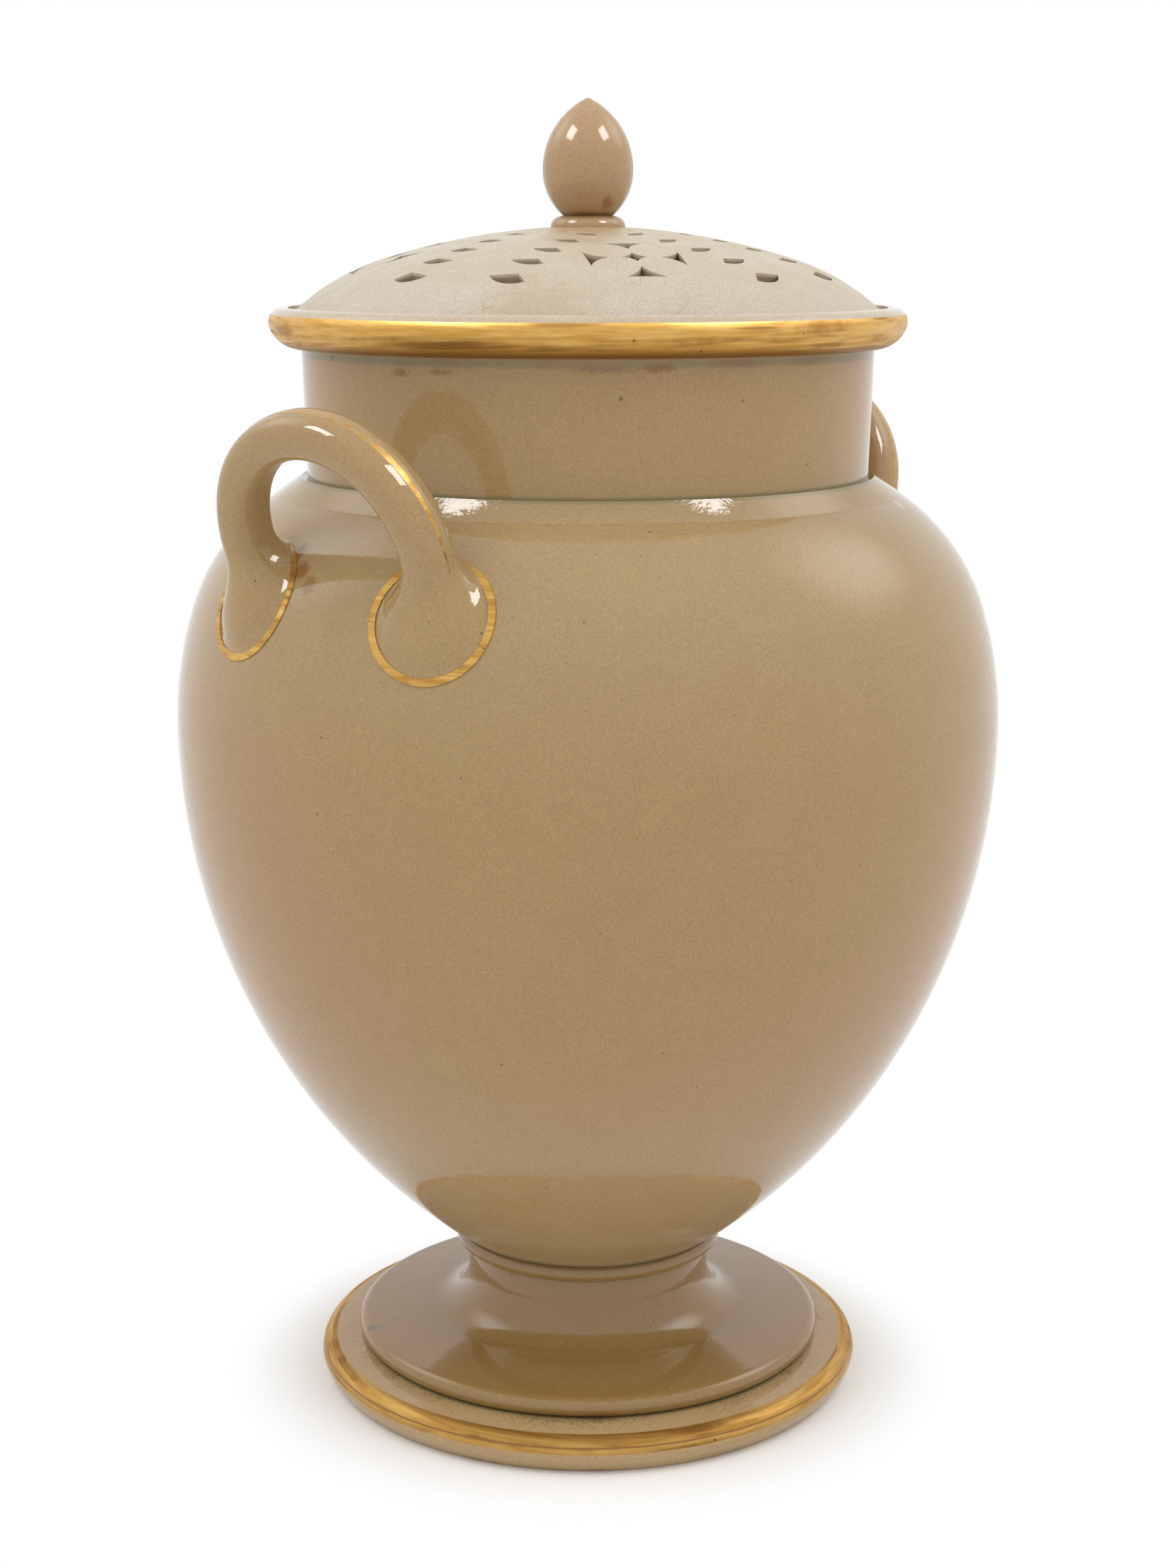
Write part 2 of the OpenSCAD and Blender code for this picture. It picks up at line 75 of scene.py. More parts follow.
class Shader:
    """One material and the few kinds of node that the glazes and gildings are made of."""

    def __init__(self, name):
        self.mat = bpy.data.materials.new(name)
        self.mat.use_nodes = True
        self.tree = self.mat.node_tree
        self.tree.nodes.clear()
        self.out = self.tree.nodes.new("ShaderNodeOutputMaterial")
        self.bsdf = self.tree.nodes.new("ShaderNodeBsdfPrincipled")
        self.tree.links.new(self.bsdf.outputs[0], self.out.inputs[0])
        self.pos = self.tree.nodes.new("ShaderNodeTexCoord").outputs["Object"]
        xyz = self.tree.nodes.new("ShaderNodeSeparateXYZ")
        self.tree.links.new(self.pos, xyz.inputs[0])
        self.x, self.y, self.z = xyz.outputs[0], xyz.outputs[1], xyz.outputs[2]

    def put(self, socket, value):
        """Link an output to a socket, or set a number, vector or colour on it."""
        if hasattr(value, "is_output"):
            self.tree.links.new(value, socket)
        elif hasattr(value, "__len__") and len(value) == 3 and socket.type == "RGBA":
            socket.default_value = (*value, 1)
        else:
            socket.default_value = value

    def math(self, op, a, b=0.0):
        n = self.tree.nodes.new("ShaderNodeMath")
        n.operation = op
        self.put(n.inputs[0], a)
        self.put(n.inputs[1], b)
        return n.outputs[0]

    def times(self, a, b):
        return self.math("MULTIPLY", a, b)

    def plus(self, a, b):
        return self.math("ADD", a, b)

    def minus(self, a, b):
        return self.math("SUBTRACT", a, b)

    def larger(self, a, b):
        return self.math("MAXIMUM", a, b)

    def ramp(self, v, lo, hi, out_lo=0.0, out_hi=1.0, curve="SMOOTHSTEP"):
        n = self.tree.nodes.new("ShaderNodeMapRange")
        n.interpolation_type = curve
        for i, x in enumerate((v, lo, hi, out_lo, out_hi)):
            self.put(n.inputs[i], x)
        return n.outputs[0]

    def mix(self, fac, a, b):
        n = self.tree.nodes.new("ShaderNodeMix")
        n.data_type = "RGBA"
        self.put(n.inputs[0], fac)
        self.put(n.inputs[6], a)
        self.put(n.inputs[7], b)
        return n.outputs[2]

    def noise(self, scale, detail=2.0, rough=0.5, vec=None, twist=0.0, seed=0.0):
        n = self.tree.nodes.new("ShaderNodeTexNoise")
        n.noise_dimensions = "4D"
        n.inputs["W"].default_value = seed
        self.put(n.inputs["Vector"], self.pos if vec is None else vec)
        n.inputs["Scale"].default_value = scale
        n.inputs["Detail"].default_value = detail
        n.inputs["Roughness"].default_value = rough
        n.inputs["Distortion"].default_value = twist
        return n.outputs[0]

    def cells(self, scale, feature="F1", vec=None):
        n = self.tree.nodes.new("ShaderNodeTexVoronoi")
        n.feature = feature
        self.put(n.inputs["Vector"], self.pos if vec is None else vec)
        n.inputs["Scale"].default_value = scale
        return n

    def vec(self, x, y, z):
        n = self.tree.nodes.new("ShaderNodeCombineXYZ")
        for socket, v in zip(n.inputs, (x, y, z)):
            self.put(socket, v)
        return n.outputs[0]

    def radius(self):
        """Distance from the axis."""
        return self.math("SQRT", self.plus(self.times(self.x, self.x), self.times(self.y, self.y)))

    def turn(self):
        """Angle about the axis from the photo's side, in radians, positive to its right."""
        a = math.radians(CAM_AZ)
        across = self.plus(self.times(self.x, math.cos(a)), self.times(self.y, math.sin(a)))
        towards = self.plus(self.times(self.x, math.sin(a)), self.times(self.y, -math.cos(a)))
        return self.math("ARCTAN2", across, towards)

    def away(self, point):
        """Distance from a point."""
        n = self.tree.nodes.new("ShaderNodeVectorMath")
        n.operation = "DISTANCE"
        self.put(n.inputs[0], self.pos)
        n.inputs[1].default_value = point
        return n.outputs["Value"]

    def band(self, v, mid, half, soft):
        """1 within half of mid, falling to 0 over soft."""
        d = self.math("ABSOLUTE", self.minus(v, mid))
        return self.ramp(d, half, half + soft, 1.0, 0.0)

    def blot(self, point, size, ragged, edge):
        """1 at a point, falling to 0 at about size from it, with an edge that follows the noise."""
        shift = self.times(self.minus(ragged, 0.5), size * edge)
        return self.ramp(self.plus(self.away(point), shift), size * 0.25, size, 1.0, 0.0)

    def smear(self, turn, z, wide, high, ragged):
        """Long blot round the axis: turn in degrees, half width in degrees and half height."""
        du = self.times(self.minus(self.turn(), math.radians(turn)), 1 / math.radians(wide))
        dz = self.times(self.minus(self.z, z), 1 / high)
        d = self.math("SQRT", self.plus(self.times(du, du), self.times(dz, dz)))
        d = self.plus(d, self.times(self.minus(ragged, 0.5), 2.2))
        return self.ramp(d, 0.35, 1.0, 1.0, 0.0)

    def bump(self, height, distance, strength=1.0, under=None):
        n = self.tree.nodes.new("ShaderNodeBump")
        n.inputs["Strength"].default_value = strength
        n.inputs["Distance"].default_value = distance
        self.put(n.inputs["Height"], height)
        if under is not None:
            self.put(n.inputs["Normal"], under)
        return n.outputs[0]

    def specks(self, scale, size, share, seed):
        """Scattered dots: size as a share of a cell, in that share of the cells."""
        shifted = self.tree.nodes.new("ShaderNodeVectorMath")
        shifted.operation = "ADD"
        self.put(shifted.inputs[0], self.pos)
        shifted.inputs[1].default_value = (seed, seed * 0.37, seed * 0.71)
        v = self.cells(scale, vec=shifted.outputs[0])
        dot = self.ramp(v.outputs["Distance"], size * 0.55, size, 1.0, 0.0)
        pick = self.tree.nodes.new("ShaderNodeSeparateColor")
        self.tree.links.new(v.outputs["Color"], pick.inputs[0])
        return self.times(dot, self.math("LESS_THAN", pick.outputs[0], share))


# Glaze

OLIVE = (0.392, 0.262, 0.114)
WARM = (0.405, 0.252, 0.124)
BROWN = (0.310, 0.180, 0.066)
PALE = (0.600, 0.510, 0.390)
GREEN = (0.240, 0.205, 0.100)
DIRT = (0.080, 0.042, 0.020)
RUST = (0.215, 0.082, 0.014)
SOIL = (0.165, 0.088, 0.036)
SOOT = (0.120, 0.105, 0.090)
# The cover's tones, paler and greyer than the body's: partly its own glaze, partly painted light for the
# stronger light on its top
DOME_LIT = (0.600, 0.545, 0.468)
DOME_WARM_LIT = (0.560, 0.485, 0.365)
# Clay brown, for the neck's clay marks and for the painted shade inside the cover's openings
CLAY_AND_SHADE = (0.250, 0.155, 0.075)

# The cover's outline, in metres, from the sizes that the CAD uses
CROWN_ARC, CROWN_R, EDGE_ARC = 0.186, 0.057, 0.0624
EDGE_MID = CROWN_R - EDGE_ARC * CROWN_R / CROWN_ARC
EDGE_DROP = CROWN_ARC - (CROWN_ARC - EDGE_ARC) * math.cos(math.asin(CROWN_R / CROWN_ARC))

# The pool of glaze round the neck's foot: width and rise in millimetres, how hollow it is, and the
# further rise in metres that its material seems to have
POOL_W, POOL_RISE, POOL_BEND = 7.2, 1.0, 1.3
POOL_BUMP = 0.0023


def glaze_tone(s, tone, second, tints):
    """Clouds of two tones, tinted by height, with a mottle, a dark grain and pale specks."""
    cloud = s.noise(7.0, 3.0, 0.55, twist=0.6)
    colour = s.mix(s.ramp(cloud, 0.36, 0.64), tone, second)
    for low, high, shade, strength in tints:
        colour = s.mix(s.ramp(s.z, low, high, 0.0, strength), colour, shade)
    mottle = s.noise(75.0, 5.0, 0.62, seed=1.0)
    colour = s.mix(s.ramp(mottle, 0.3, 0.7, 0.0, 0.12), colour, BROWN)
    grain = s.noise(1500.0, 2.0, 0.6)
    colour = s.mix(s.ramp(grain, 0.30, 0.70, 0.0, 0.21), colour, DIRT)
    return s.mix(s.times(s.specks(420.0, 0.22, 0.10, 2.3), 0.12), colour, PALE)


def glaze_marks(s, colour, lines, rings, stains, smears, dusty, specks):
    """Dirt along joints, stains, smears, dust beside the first ring, and dark specks."""
    wander = s.noise(38.0, 3.0, 0.6, seed=6.0)
    for level, bands in ((s.z, lines), (s.radius(), rings)):
        for mid, half, shade, strength, broken in bands:
            m = s.band(level, mid, half * 0.4, half)
            if broken:
                m = s.times(m, s.ramp(wander, 0.47, 0.66))
            colour = s.mix(s.times(m, strength), colour, shade)
    ragged = s.noise(260.0, 4.0, 0.6, seed=5.0)
    for point, size, shade, strength in stains:
        colour = s.mix(s.times(s.blot(point, size, ragged, 1.6), strength), colour, shade)
    fine = s.noise(900.0, 4.0, 0.65, seed=3.0)
    for turn, z, wide, high, shade, strength in smears:
        colour = s.mix(s.times(s.smear(turn, z, wide, high, fine), strength), colour, shade)
    if dusty:
        near = s.band(s.radius(), rings[0][0], 0.0010, 0.0075)
        dust = s.times(s.times(near, s.ramp(wander, 0.36, 0.56)), s.ramp(fine, 0.49, 0.64))
        colour = s.mix(s.times(dust, dusty), colour, SOIL)
    colour = s.mix(s.times(s.specks(130.0, 0.055, specks, 5.1), 0.75), colour, DIRT)
    return s.mix(s.times(s.specks(300.0, 0.10, specks * 0.7, 8.7), 0.55), colour, RUST)


def glaze_relief(s, peel, ledge):
    """Normal of the glaze: its orange peel, over the hollow curve of a ledge."""
    normal = None
    if ledge:
        inner, wide, high = ledge
        t = s.ramp(s.radius(), inner, inner + wide, 1.0, 0.0, "LINEAR")
        normal = s.bump(s.times(s.math("POWER", t, POOL_BEND), high), 1.0)
    normal = s.bump(s.noise(260.0, 2.0), 0.0004, peel, normal)
    return s.bump(s.noise(950.0, 2.0), 0.00012, peel * 1.4, normal)


def crazing(s, colour, normal, strength):
    """Patches of fine brown cracks, and pale pits."""
    net = s.cells(150.0, "DISTANCE_TO_EDGE").outputs["Distance"]
    crack = s.ramp(net, 0.0, 0.03, 1.0, 0.0)
    part = s.ramp(s.noise(30.0, 3.0, seed=9.0), 0.46, 0.64)
    colour = s.mix(s.times(s.times(crack, part), strength), colour, BROWN)
    pit = s.specks(560.0, 0.30, 0.30, 11.0)
    colour = s.mix(s.times(pit, strength * 0.7), colour, PALE)
    return colour, s.bump(pit, 0.00012, 0.4, normal)


def depth_in_cover(s):
    """Depth under the outside of the dome: under its crown, or under the tighter curve at its edge."""
    r = s.radius()
    crown = s.math("SQRT", s.minus(CROWN_ARC ** 2, s.times(r, r)))
    crown = s.minus(crown, CROWN_ARC)
    off = s.minus(r, EDGE_MID)
    edge = s.math("SQRT", s.larger(s.minus(EDGE_ARC ** 2, s.times(off, off)), 0.0))
    edge = s.minus(edge, EDGE_DROP)
    outer = s.math("GREATER_THAN", r, CROWN_R)
    outside = s.plus(s.times(edge, outer), s.times(crown, s.minus(1.0, outer)))
    return s.minus(s.plus(outside, DOME_Z), s.z)


def glaze(name, tone=OLIVE, second=WARM, rough=0.07, tints=(), lines=(), rings=(), stains=(), smears=(),
          specks=0.28, dusty=0.0, craze=0.0, peel=0.08, ior=1.43, pierced=False, ledge=None):
    """Drab glaze. tints are (from height, to height, colour, strength). lines and rings are (height or
    radius, half width, colour, strength, broken). stains are (point, radius, colour, strength) and smears
    are (turn, height, half width in degrees, half height, colour, strength). dusty adds dirt near the
    first ring, pierced darkens the walls of the cover's openings with depth, painted shade inside them in
    a clay brown, and ledge is (inner radius, width, rise) of a hollow curve up to a joint."""
    s = Shader(name)
    colour = glaze_tone(s, tone, second, tints)
    colour = glaze_marks(s, colour, lines, rings, stains, smears, dusty, specks)
    normal = glaze_relief(s, peel, ledge)
    if craze:
        colour, normal = crazing(s, colour, normal, craze)
    if pierced:
        # Painted shade in the cover's openings, in a clay brown: their walls darken with depth
        colour = s.mix(s.ramp(depth_in_cover(s), 0.0002, 0.0012, 0.0, 0.85), colour, CLAY_AND_SHADE)
    patchy = s.ramp(s.noise(160.0, 3.0), 0.3, 0.7, rough * 0.8, rough * 1.25)
    s.put(s.bsdf.inputs["Base Color"], colour)
    s.put(s.bsdf.inputs["Roughness"], patchy)
    s.put(s.bsdf.inputs["Normal"], normal)
    s.bsdf.inputs["IOR"].default_value = ior
    return s.mat


# Gilding

GOLD = (0.570, 0.300, 0.060)
GOLD_PALE = (0.720, 0.450, 0.130)
GOLD_BROWN = (0.250, 0.105, 0.022)
OLD_GOLD = (0.430, 0.225, 0.045)
OLD_GOLD_PALE = (0.580, 0.350, 0.100)
GILT_METAL = 0.82


def gilding(name, wear=0.25, brown=0.4, rough=0.40, tones=(GOLD, GOLD_PALE), thin_top=None, smears=(),
            edges=(), dots=()):
    """Worn fired gold. thin_top is (from height, to height) over which it rubs away, smears are
    (turn, height, half width in degrees, half height, strength) of brown wear, edges are
    (height, half width, strength) of brown all round, and dots are (point, radius) of bare clay."""
    s = Shader(name)
    brushed = s.vec(s.times(s.x, 0.07), s.plus(s.times(s.y, 0.07), s.radius()), s.z)
    streak = s.noise(900.0, 4.0, 0.6, vec=brushed)
    long_streak = s.noise(420.0, 3.0, 0.55, vec=brushed, seed=2.0)
    cloud = s.noise(55.0, 4.0, 0.6, seed=4.0)
    colour = s.mix(s.ramp(streak, 0.34, 0.66), *tones)

    tarnish = s.times(s.ramp(long_streak, 0.44, 0.62), s.ramp(cloud, 0.35, 0.65))
    tarnish = s.times(tarnish, brown)
    for turn, z, wide, high, strength in smears:
        tarnish = s.larger(tarnish, s.times(s.smear(turn, z, wide, high, long_streak), strength))
    for z, half, strength in edges:
        tarnish = s.larger(tarnish, s.times(s.band(s.z, z, half * 0.4, half), strength))
    colour = s.mix(tarnish, colour, GOLD_BROWN)
    colour = s.mix(s.times(s.specks(260.0, 0.14, 0.10, 4.4), 0.7), colour, DIRT)

    bare = s.ramp(s.noise(240.0, 5.0, 0.68, vec=brushed, seed=7.0), 0.62 - 0.2 * wear, 0.66)
    bare = s.times(bare, min(1.0, 2.2 * wear))
    if thin_top:
        rubbed = s.ramp(s.noise(420.0, 4.0, 0.6, seed=8.0), 0.36, 0.58)
        rubbed = s.times(s.ramp(s.z, thin_top[0], thin_top[1]), rubbed)
        bare = s.larger(bare, s.times(rubbed, 0.85))
    under = OLIVE
    for point, size in dots:
        dot = s.blot(point, size, cloud, 0.8)
        bare = s.larger(bare, dot)
        under = s.mix(dot, under, DIRT)

    patchy = s.ramp(long_streak, 0.3, 0.7, rough * 0.8, rough * 1.3)
    normal = s.bump(streak, 0.00006, 0.35)
    s.put(s.bsdf.inputs["Base Color"], s.mix(bare, colour, under))
    s.put(s.bsdf.inputs["Metallic"], s.minus(GILT_METAL, s.times(bare, GILT_METAL)))
    s.put(s.bsdf.inputs["Roughness"], s.plus(patchy, s.times(tarnish, 0.12)))
    s.put(s.bsdf.inputs["Normal"], s.bump(s.noise(600.0, 3.0), 0.0001, 0.25, normal))
    return s.mat


# Handles: one smooth form in place of each CAD handle, blended into its feet and into the shoulder

# Millimetres, from the sizes that the CAD uses: the body, the neck, the arch, the strap and its feet
BELLY_R, UPPER_ARC, SHOULDER_ARC, SHOULDER_RISE = 115.35, 106.4, 58.4, 32.5
NECK_R, NECK_FOOT_R = 77.7, 79.3
HANDLE_DROP, PAD_DROP, ARCH_R, ARCH_RISE = 20.4, 5.2, 30.6, 10.4
SPLAY, LEAN = math.radians(-5.6), math.radians(19.0)
STRAP_T, STRAP_W = 11.9, 13.5
PAD_HALF, PAD_PROUD = 13.9, 4.4

# The strap's section: its power, where 2 is an ellipse and more is squarer, and its mean half width.
# Below SWELL_H it swells towards its feet, up to a limit
STRAP_SQUARE, STRAP_MEAN = 2.5, 6.2
STRAP_SWELL, SWELL_H, SWELL_LIMIT = 0.08, 12.0, 1.2
# How far each leg runs down from the arch, and its blend into its foot
LEG_REACH, FOOT_BLEND = 40.0, 7.0
# The fillet on the shoulder, how far its edge dips under the glaze, and the root inside the body's wall:
# its width and depth, each with the rounding of that edge
FILLET, FILLET_DIP = 1.5, 0.16
ROOT_OUT, ROOT_OUT_ROUND = 3.0, 1.2
ROOT_DEEP, ROOT_DEEP_ROUND = 2.4, 2.0

SHOULDER_A = math.asin(SHOULDER_RISE / UPPER_ARC)
SHOULDER_R = BELLY_R - UPPER_ARC + (UPPER_ARC - SHOULDER_ARC) * math.cos(SHOULDER_A)
SHOULDER_Z = NECK_Z / MM - math.sqrt(SHOULDER_ARC ** 2 - (NECK_FOOT_R - SHOULDER_R) ** 2)
BELLY_Z = SHOULDER_Z - (UPPER_ARC - SHOULDER_ARC) * math.sin(SHOULDER_A)
HAND_Z = NECK_Z / MM - HANDLE_DROP
HAND_R = SHOULDER_R + math.sqrt(SHOULDER_ARC ** 2 - (HAND_Z - SHOULDER_Z) ** 2)
PAD_Z = HAND_Z - PAD_DROP
PAD_R = SHOULDER_R + math.sqrt(SHOULDER_ARC ** 2 - (PAD_Z - SHOULDER_Z) ** 2)
PAD_A = math.asin((PAD_Z - SHOULDER_Z) / SHOULDER_ARC)
LEG_Y = ARCH_R * math.cos(SPLAY) + (ARCH_RISE + ARCH_R * math.sin(SPLAY)) * math.tan(SPLAY)
LEG_A = math.asin(LEG_Y / HAND_R)

# The grid that the right handle's skin is found on
GRID_LOW = (84.0, -52.0, HAND_Z - 34.0)
GRID_HIGH = (126.0, 52.0, HAND_Z + 50.0)
GRID_STEP = 0.8


def smooth_min(a, b, k):
    """The lesser of two values, rounded off where they differ by less than k."""
    h = np.clip(0.5 + 0.5 * (b - a) / k, 0.0, 1.0)
    return b + (a - b) * h - k * h * (1.0 - h)


def smooth_max(a, b, k):
    """The greater of two values, rounded off in the same way."""
    return -smooth_min(-a, -b, k)


def shoulder_gap(p):
    """Distance outside the body's outline."""
    r = np.hypot(p[..., 0], p[..., 1])
    z = p[..., 2]
    tight = np.arctan2(z - SHOULDER_Z, r - SHOULDER_R) > SHOULDER_A
    above = np.hypot(r - SHOULDER_R, z - SHOULDER_Z) - SHOULDER_ARC
    below = np.hypot(r - BELLY_R + UPPER_ARC, z - BELLY_Z) - UPPER_ARC
    return np.where(tight, above, below)


def to_lean(p):
    """Coordinates in the frame that leans with the handle: outwards, sideways and up."""
    dx = p[..., 0] - HAND_R * math.cos(LEG_A)
    dz = p[..., 2] - HAND_Z
    u = dx * math.cos(LEAN) - dz * math.sin(LEAN)
    w = dx * math.sin(LEAN) + dz * math.cos(LEAN)
    return u, p[..., 1], w


def from_lean(u, v, w):
    """The point at coordinates in the leaning frame."""
    x = HAND_R * math.cos(LEG_A) + u * math.cos(LEAN) + w * math.sin(LEAN)
    z = HAND_Z - u * math.sin(LEAN) + w * math.cos(LEAN)
    return np.stack([x, v, z], axis=-1)


def strap_path(v, w):
    """Distance from the middle line of the strap, in the plane that it leans in."""
    av = np.abs(v)
    v0 = ARCH_R * math.cos(SPLAY)
    w0 = ARCH_RISE + ARCH_R * math.sin(SPLAY)
    arc = np.abs(np.hypot(av, w - ARCH_RISE) - ARCH_R)
    along = (av - v0) * math.sin(SPLAY) - (w - w0) * math.cos(SPLAY)
    along = np.clip(along, 0.0, LEG_REACH)
    leg = np.hypot(av - v0 - along * math.sin(SPLAY), w - w0 + along * math.cos(SPLAY))
    on_arc = np.arctan2(w - ARCH_RISE, av) > SPLAY
    return np.where(on_arc, arc, leg)


def strap_form(p):
    """About the distance from a rounded strap that swells a little towards its feet."""
    u, v, w = to_lean(p)
    swell = 1.0 + STRAP_SWELL * np.clip((SWELL_H - w) / SWELL_H, 0.0, SWELL_LIMIT)
    across = strap_path(v, w) / (STRAP_T / 2 * swell)
    outwards = np.abs(u) / (STRAP_W / 2)
    q = across ** STRAP_SQUARE + outwards ** STRAP_SQUARE
    return (q ** (1 / STRAP_SQUARE) - 1.0) * STRAP_MEAN


def pad_form(p):
    """Distance from the balls whose caps are the two flat pressed feet."""
    bend = (1 / SHOULDER_ARC + math.cos(PAD_A) / PAD_R) / 2
    rise = PAD_PROUD + PAD_HALF ** 2 * bend / 2
    ball = (PAD_HALF ** 2 + rise ** 2) / (2 * rise)
    mid_r = PAD_R - (ball - PAD_PROUD) * math.cos(PAD_A)
    mid_z = PAD_Z - (ball - PAD_PROUD) * math.sin(PAD_A)
    dx = p[..., 0] - mid_r * math.cos(LEG_A)
    dy = np.abs(p[..., 1]) - mid_r * math.sin(LEG_A)
    return np.sqrt(dx ** 2 + dy ** 2 + (p[..., 2] - mid_z) ** 2) - ball


def handle_form(p):
    """About the distance from the strap and the feet that it runs into."""
    return smooth_min(strap_form(p), pad_form(p), FOOT_BLEND)


def handle_skin(p):
    """Zero on the finished surface: the handle, run into the shoulder with a small fillet."""
    form = handle_form(p)
    gap = shoulder_gap(p)
    skin = smooth_min(form, gap + FILLET_DIP, FILLET)
    skin = smooth_max(skin, form - ROOT_OUT, ROOT_OUT_ROUND)
    return smooth_max(skin, -(gap + ROOT_DEEP), ROOT_DEEP_ROUND)


def slope(fun, p, e=0.02):
    """Gradient of fun, from its values at e to each side."""
    steps = np.eye(3) * e
    return np.stack([(fun(p + d) - fun(p - d)) / (2 * e) for d in steps], axis=-1)


def settle(fun, p, times, level=0.0, most=None, flattest=0.05):
    """Move points along the slope of fun, step by step, to where it equals level. No step is longer than
    most, and none treats the square of the slope as less than flattest."""
    for _ in range(times):
        g = slope(fun, p)
        steep = np.maximum((g * g).sum(-1, keepdims=True), flattest)
        move = -(fun(p) - level)[:, None] * g / steep
        if most:
            move = np.clip(move, -most, most)
        p = p + move
    return p


def net_points(f):
    """Cells of a grid that the zero surface crosses, and in each the mean of its cuts, in grid steps."""
    n = f.shape
    corners = [np.array(c) for c in np.ndindex(2, 2, 2)]

    def at(a, c):
        return a[c[0]:n[0] - 1 + c[0], c[1]:n[1] - 1 + c[1], c[2]:n[2] - 1 + c[2]]

    count = sum(at(f < 0, c).astype(int) for c in corners)
    mixed = (count > 0) & (count < len(corners))
    total = np.zeros(mixed.shape + (3,))
    hits = np.zeros(mixed.shape)
    for c in corners:
        for axis in np.flatnonzero(c == 0):
            step_up = np.eye(3, dtype=int)[axis]
            fa, fb = at(f, c), at(f, c + step_up)
            cut = (fa < 0) != (fb < 0)
            t = np.where(cut, fa / np.where(cut, fa - fb, 1.0), 0.0)
            total += (c + step_up * t[..., None]) * cut[..., None]
            hits += cut
    where = np.argwhere(mixed)
    return where, where + total[mixed] / hits[mixed][:, None]


def net_faces(inside, index):
    """A quad round each grid edge that the surface cuts, from the numbers of the cells' points."""
    n = inside.shape
    faces = []
    for axis in range(3):
        b, c = (axis + 1) % 3, (axis + 2) % 3
        lo = [slice(1, m - 1) for m in n]
        lo[axis] = slice(0, n[axis] - 1)
        hi = list(lo)
        hi[axis] = slice(1, n[axis])
        starts, ends = inside[tuple(lo)], inside[tuple(hi)]
        for outwards in (True, False):
            edge = np.argwhere((starts & ~ends) if outwards else (~starts & ends))
            edge = edge + np.array([0 if i == axis else 1 for i in range(3)])
            ring = []
            for db, dc in ((0, 0), (-1, 0), (-1, -1), (0, -1)):
                cell = edge.copy()
                cell[:, b] += db
                cell[:, c] += dc
                ring.append(index[cell[:, 0], cell[:, 1], cell[:, 2]])
            quads = np.stack(ring, axis=-1)
            faces.append(quads if outwards else quads[:, ::-1])
    return np.concatenate(faces)


def surface_net(fun, low, high, step):
    """Quads on the zero surface of fun: one point in each grid cell that the surface crosses."""
    axes = [np.arange(a, b + step, step) for a, b in zip(low, high)]
    f = fun(np.stack(np.meshgrid(*axes, indexing="ij"), axis=-1))
    where, cuts = net_points(f)
    index = -np.ones([m - 1 for m in f.shape], int)
    index[tuple(where.T)] = np.arange(len(where))
    points = settle(fun, np.array(low) + cuts * step, 4, most=0.4 * step)
    return points, net_faces(f < 0, index)


def slab(top, under, rows, columns, loop=False):
    """Closed piece between two grids of points, joined along their edges. A loop's rows are rings."""
    count = (rows + 1) * columns
    across = range(columns if loop else columns - 1)

    def at(i, j):
        return i * columns + j % columns

    faces = []
    for i in range(rows):
        for j in across:
            q = (at(i, j), at(i + 1, j), at(i + 1, j + 1), at(i, j + 1))
            faces += [q, tuple(count + k for k in reversed(q))]
    rims = [(at(0, j), at(0, j + 1)) for j in across]
    rims += [(at(rows, j + 1), at(rows, j)) for j in across]
    if not loop:
        last = columns - 1
        rims += [(at(i + 1, 0), at(i, 0)) for i in range(rows)]
        rims += [(at(i, last), at(i + 1, last)) for i in range(rows)]
    faces += [(a, b, b + count, a + count) for a, b in rims]
    return np.concatenate([top, under]), faces


def gilt_line(columns=7, rows=120, reach=54.0, widest=2.4, tip=0.05, proud=0.03, deep=0.35):
    """The gilt line along the crest and down both legs, let into the handle's skin. tip is half its width
    at the ends, and proud and deep are how far it stands out and goes in."""
    arc_end = ARCH_R * (math.pi / 2 - SPLAY)
    crest_r = ARCH_R + STRAP_T / 2
    out = []
    for i in range(rows + 1):
        t = 2 * i / rows - 1
        half = widest / 2 * max(0.0, 1 - abs(t) ** 1.7) ** 0.9 + tip
        side = math.copysign(1.0, t)
        a = min(abs(t) * reach, arc_end) / ARCH_R
        down = max(0.0, abs(t) * reach - arc_end)
        v = crest_r * math.sin(a) + down * math.sin(SPLAY)
        w = ARCH_RISE + crest_r * math.cos(a) - down * math.cos(SPLAY)
        for j in range(columns):
            out.append((half * (2 * j / (columns - 1) - 1), side * v, w))
    points = settle(handle_form, from_lean(*np.array(out).T), 6, level=proud)
    under = settle(handle_form, points, 6, level=-deep)
    return slab(points, under, rows, columns)


def glaze_pool(turns=240, rows=14, film=0.06, root=0.4, valley=0.5):
    """The glaze that ran down the neck and set in a hollow curve round its foot, on the shoulder. film is
    its least thickness, root is how far it goes into the body, and valley is the dip beside the neck."""
    a = np.linspace(0.0, 2 * math.pi, turns, endpoint=False)
    crest = NECK_Z / MM + POOL_RISE

    def ring(r, z):
        return np.stack([r * np.cos(a), r * np.sin(a), np.full(turns, z)], axis=-1)

    outline = [(NECK_R + film, crest - valley, NECK_Z / MM - root)]
    for i in range(rows):
        t = i / (rows - 1)
        r = NECK_FOOT_R + film + POOL_W * t
        z = SHOULDER_Z + math.sqrt(SHOULDER_ARC ** 2 - (r - SHOULDER_R) ** 2)
        outline.append((r, z + film + POOL_RISE * (1 - t) ** POOL_BEND, z - root))
    top = np.concatenate([ring(r, high) for r, high, low in outline])
    under = np.concatenate([ring(r, low) for r, high, low in outline])
    return slab(top, under, rows, turns, loop=True)


